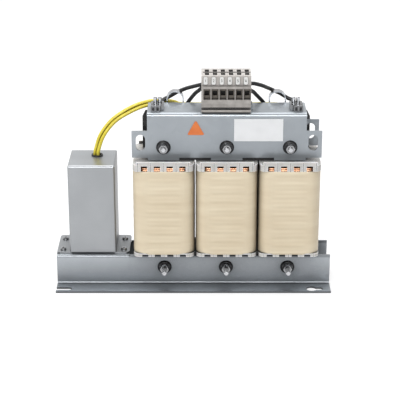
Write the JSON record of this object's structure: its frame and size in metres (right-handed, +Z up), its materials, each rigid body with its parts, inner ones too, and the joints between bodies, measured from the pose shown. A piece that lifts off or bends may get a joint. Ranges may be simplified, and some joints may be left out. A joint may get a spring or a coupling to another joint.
{
  "type": "power line filter",
  "caption": "Open-frame power line filter: laminated choke with wrapped coils between sheet rails, a capacitor box beside it and rail terminals on top.",
  "frame": {"origin": "bottom centre of the whole part, on the floor under the middle of the two base rails", "axes": "+X along the rails toward the keyhole end, -Y toward the front with the rating plate and the nuts, +Z up"},
  "size_m": [0.28, 0.0834, 0.2219],
  "materials": {
    "sheet": "galvanised, satin",
    "box_sheet": "satin",
    "laminations": "dark lacquered sheet edges",
    "bobbin": "natural moulded nylon",
    "copper": "enamelled copper wire",
    "wrap": "pressed insulating tape",
    "black_insulation": "moulded, matt",
    "grommet": "matt",
    "bright_steel": "bright zinc",
    "zinc_steel": "zinc plated",
    "clamp_steel": "plain",
    "can": "plain drawn can",
    "terminal_body": "grey polyamide",
    "tags": "white",
    "plate": "plain film",
    "patch": "plain film",
    "yellow_cable": "soft PVC",
    "black_cable": "soft PVC"
  },
  "bodies": {
    "root": {"front_rail": "sheet", "rear_rail": "sheet", "core_e_pack": "laminations", "core_yoke_pack": "laminations", "bobbin_left": "bobbin", "bobbin_middle": "bobbin", "bobbin_right": "bobbin", "winding_left": "copper", "winding_middle": "copper", "winding_right": "copper", "wrap_left": "wrap", "wrap_middle": "wrap", "wrap_right": "wrap", "upper_frame": "sheet", "insulating_board": "black_insulation", "lifting_bow_left": "bright_steel", "lifting_bow_right": "bright_steel", "upper_bolts": "zinc_steel", "lower_bolts": "zinc_steel", "insulating_bushings": "black_insulation", "bolt_washers": "zinc_steel", "bolt_nuts": "zinc_steel", "capacitor_box": "box_sheet", "box_screws": "zinc_steel", "cable_grommet": "grommet", "capacitors": "can", "terminal_rail": "sheet", "rail_screws": "zinc_steel", "terminal_1": "terminal_body", "terminal_2": "terminal_body", "terminal_3": "terminal_body", "terminal_4": "terminal_body", "terminal_5": "terminal_body", "terminal_6": "terminal_body", "terminal_end_plate": "terminal_body", "wire_clamps": "clamp_steel", "clamp_screws": "zinc_steel", "marker_tags": "tags", "earth_clamps": "bright_steel", "earth_screws": "zinc_steel", "rating_plate": "plate", "triangle_patch": "patch", "yellow_lead_1": "yellow_cable", "yellow_lead_2": "yellow_cable", "yellow_lead_3": "yellow_cable", "black_lead_1": "black_cable", "black_lead_2": "black_cable", "black_lead_3": "black_cable", "black_lead_4": "black_cable", "black_lead_5": "black_cable", "black_lead_6": "black_cable"}
  },
  "joints": []
}
